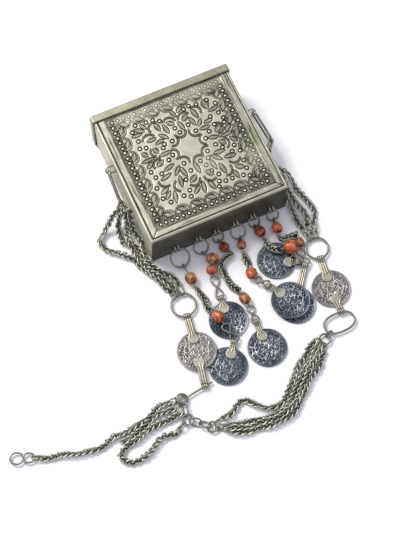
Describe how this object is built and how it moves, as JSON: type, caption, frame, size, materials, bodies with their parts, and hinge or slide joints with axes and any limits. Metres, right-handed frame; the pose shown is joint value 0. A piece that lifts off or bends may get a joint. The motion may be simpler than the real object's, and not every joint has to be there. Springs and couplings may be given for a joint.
{
  "type": "quran case",
  "caption": "Silver amulet case for a small Quran: hollow box with a chased front and slip-on end cap, on woven neck chains, with coins on coral-beaded chains along its bottom edge.",
  "frame": {"origin": "on the flat back of the case, midway across it and about midway along it", "axes": "+X across the case to the right as its front is seen, +Y along it to the end cap, +Z out of the chased front"},
  "size_m": [0.2044, 0.1933, 0.0271],
  "materials": {
    "sheet_silver": "worn sheet silver with brown tarnish",
    "chased_silver": "chased silver, dark in the recesses",
    "wire_silver": "drawn silver wire, tarnished",
    "chain_silver": "woven loop-in-loop silver chain, olive tarnish",
    "coin_silver": "worn coin silver with blue-grey patina",
    "orange_coral": "worn orange coral",
    "brown_coral": "worn brown coral",
    "dark_red_coral": "worn dark red coral"
  },
  "bodies": {
    "case": {"case_body": "sheet_silver", "drop_1_chain": "chain_silver", "drop_1_coin": "coin_silver", "drop_1_lower_bead": "orange_coral", "drop_1_ring": "wire_silver", "drop_1_upper_bead": "brown_coral", "drop_2_coin": "coin_silver", "drop_2_lower_bead": "orange_coral", "drop_2_ring": "wire_silver", "drop_2_upper_bead": "brown_coral", "drop_3_chain": "chain_silver", "drop_3_coin": "coin_silver", "drop_3_lower_bead": "brown_coral", "drop_3_ring": "wire_silver", "drop_3_upper_bead": "dark_red_coral", "drop_4_chain": "chain_silver", "drop_4_coin": "coin_silver", "drop_4_lower_bead": "orange_coral", "drop_4_ring": "wire_silver", "drop_4_upper_bead": "brown_coral", "drop_5_chain": "chain_silver", "drop_5_coin": "coin_silver", "drop_5_lower_bead": "orange_coral", "drop_5_ring": "wire_silver", "drop_5_upper_bead": "dark_red_coral", "drop_6_chain": "chain_silver", "drop_6_coin": "coin_silver", "drop_6_lower_bead": "brown_coral", "drop_6_ring": "wire_silver", "drop_6_upper_bead": "orange_coral", "end_hook": "wire_silver", "front_plate": "chased_silver", "link_hub": "wire_silver", "link_lower_left": "wire_silver", "link_lower_right": "wire_silver", "neck_chain_left_1": "chain_silver", "neck_chain_left_2": "chain_silver", "neck_chain_left_3": "chain_silver", "neck_chain_left_4": "chain_silver", "neck_chain_lower_bundle": "chain_silver", "neck_chain_lower_loose": "chain_silver", "neck_chain_right_1": "chain_silver", "neck_chain_right_2": "chain_silver", "neck_chain_right_3": "chain_silver", "neck_coin_left": "coin_silver", "neck_coin_right": "coin_silver", "neck_ring_left": "wire_silver", "neck_ring_lower": "wire_silver", "neck_ring_right": "wire_silver", "pin_hook": "wire_silver", "ring_lower_left": "wire_silver", "ring_lower_right": "wire_silver", "ring_middle": "wire_silver", "side_bail_left": "wire_silver", "side_bail_right": "wire_silver", "spare_chain_back": "chain_silver", "spare_chain_long": "chain_silver", "spare_chain_short": "chain_silver"},
    "lid": {"lid": "sheet_silver"}
  },
  "joints": [
    {"name": "lid_slide", "type": "slide", "parent": "case", "child": "lid", "axis": [0, 1, 0], "range_m": [0, 0.05]}
  ]
}
